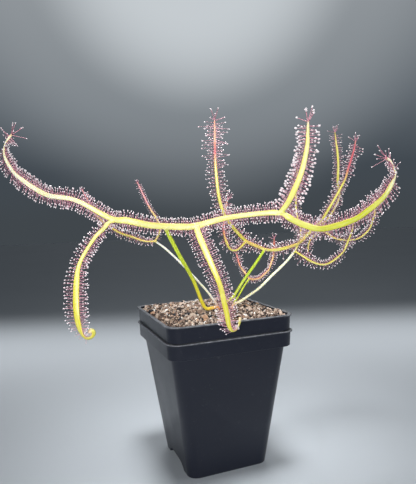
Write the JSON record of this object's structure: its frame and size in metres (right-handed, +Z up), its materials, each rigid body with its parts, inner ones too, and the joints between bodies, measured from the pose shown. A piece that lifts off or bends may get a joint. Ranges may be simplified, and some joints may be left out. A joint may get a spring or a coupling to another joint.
{
  "type": "potted carnivorous plant",
  "caption": "Fork-leaved sundew with bead-tipped tentacles, rooted in a square soil-filled pot nested in a second pot.",
  "frame": {"origin": "centre of the outer pot's flat underside, on the ground", "axes": "+Z up, X and Y square to the pot's faces, -Y the pot face turned to the viewer"},
  "size_m": [0.282, 0.1415, 0.2459],
  "materials": {
    "pot_plastic": "satin black moulded plastic",
    "soil_mix": "rough peat and grit",
    "root_brown": "dull fibrous",
    "leaf_a_green": "waxy yellow-green",
    "leaf_b_green": "waxy orange-yellow",
    "leaf_c_green": "waxy yellow-green",
    "leaf_d_green": "waxy orange",
    "leaf_e_green": "waxy yellow"
  },
  "bodies": {
    "root": {"outer_pot": "pot_plastic", "inner_pot": "pot_plastic", "soil": "soil_mix", "rootstock": "root_brown", "leaf_a": "leaf_a_green", "leaf_b": "leaf_b_green", "leaf_c": "leaf_c_green", "leaf_d": "leaf_d_green", "leaf_e": "leaf_e_green"}
  },
  "joints": []
}
